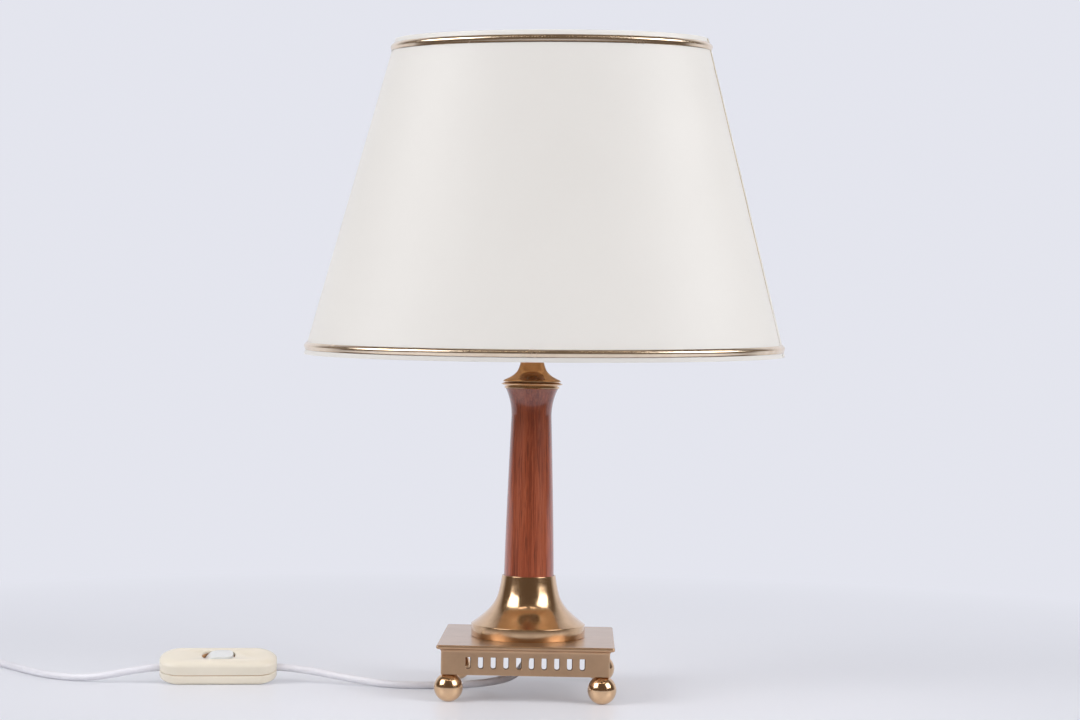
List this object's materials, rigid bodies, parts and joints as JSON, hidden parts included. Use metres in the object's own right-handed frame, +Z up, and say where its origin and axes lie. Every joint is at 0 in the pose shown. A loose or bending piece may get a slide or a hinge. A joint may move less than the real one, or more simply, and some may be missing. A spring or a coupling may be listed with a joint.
{
  "type": "table lamp",
  "caption": "Table lamp with an oval cone shade, a turned wooden column with a brass bell foot and a square pierced brass base on ball feet, with a corded in-line switch.",
  "frame": {"origin": "on the surface that the lamp stands on, under the middle of the shade; the column's axis stands 7.7 mm to -X of it, because the shade sits off the column's axis as pictured", "axes": "+Z up along the column, -Y to the front, +X to the right; the cord leaves to -X"},
  "size_m": [0.6901, 0.2914, 0.4763],
  "materials": {
    "satin_brass": "satin, brushed",
    "polished_brass": "polished",
    "gold_trim": "polished pale gold",
    "steel": "zinc plated",
    "cast_iron": "rough",
    "mahogany": "glossy lacquer",
    "shade_laminate": "satin, smooth laminate",
    "ivory_plastic": "semi gloss",
    "white_plastic": "semi gloss",
    "white_cord": "soft PVC",
    "black_plastic": "moulded",
    "porcelain": "glazed",
    "opal_glass": "opal, satin"
  },
  "bodies": {
    "lamp": {"base_plate": "satin_brass", "base_skirt": "satin_brass", "ball_foot_front_left": "polished_brass", "ball_foot_front_right": "polished_brass", "ball_foot_back_right": "polished_brass", "ball_foot_back_left": "polished_brass", "foot_screw_front_left": "steel", "foot_screw_front_right": "steel", "foot_screw_back_right": "steel", "foot_screw_back_left": "steel", "threaded_tube": "steel", "base_washer": "steel", "base_nut": "steel", "tube_bush": "black_plastic", "inner_cord": "white_cord", "bell_foot": "polished_brass", "foot_weight": "cast_iron", "wood_column": "mahogany", "column_cap": "polished_brass", "holder_locknut": "steel", "holder_cap": "black_plastic", "holder_sleeve": "black_plastic", "holder_core": "porcelain", "screw_shell": "polished_brass", "centre_contact": "polished_brass", "shade_ring_lower": "black_plastic", "shade_ring_upper": "black_plastic", "switch_upper_shell": "ivory_plastic", "switch_lower_shell": "ivory_plastic", "rocker_pin": "steel", "fixed_contact_left": "polished_brass", "fixed_contact_right": "polished_brass", "cord_clamp_left": "black_plastic", "cord_clamp_right": "black_plastic", "switch_screw_left": "steel", "switch_screw_right": "steel", "cord_base_to_switch": "white_cord", "cord_switch_to_coil": "white_cord", "cord_coil": "white_cord", "cord_coil_to_plug": "white_cord", "plug_body": "white_plastic", "plug_boot": "white_plastic", "plug_pin_left": "steel", "plug_pin_right": "steel"},
    "shade": {"shade_shell": "shade_laminate", "shade_trim_bottom": "gold_trim", "shade_trim_top": "gold_trim", "shade_wire_bottom": "steel", "shade_wire_top": "steel", "shade_carrier": "steel"},
    "bulb": {"bulb_cap": "polished_brass", "bulb_glass": "opal_glass"},
    "rocker": {"switch_rocker": "white_plastic"}
  },
  "joints": [
    {"name": "rocker_tip", "type": "hinge", "parent": "lamp", "child": "rocker", "pos_m": [-0.23465, 0.00937, 0.01613], "axis": [-0.1426, 0.9375, 0.3173], "range_deg": [0, 22]},
    {"name": "shade_turn", "type": "hinge", "parent": "lamp", "child": "shade", "pos_m": [-0.0077, 0, 0.284], "axis": [0, 0, 1], "continuous": true},
    {"name": "bulb_out", "type": "slide", "parent": "lamp", "child": "bulb", "axis": [0, 0, 1], "range_m": [0, 0.026]}
  ]
}
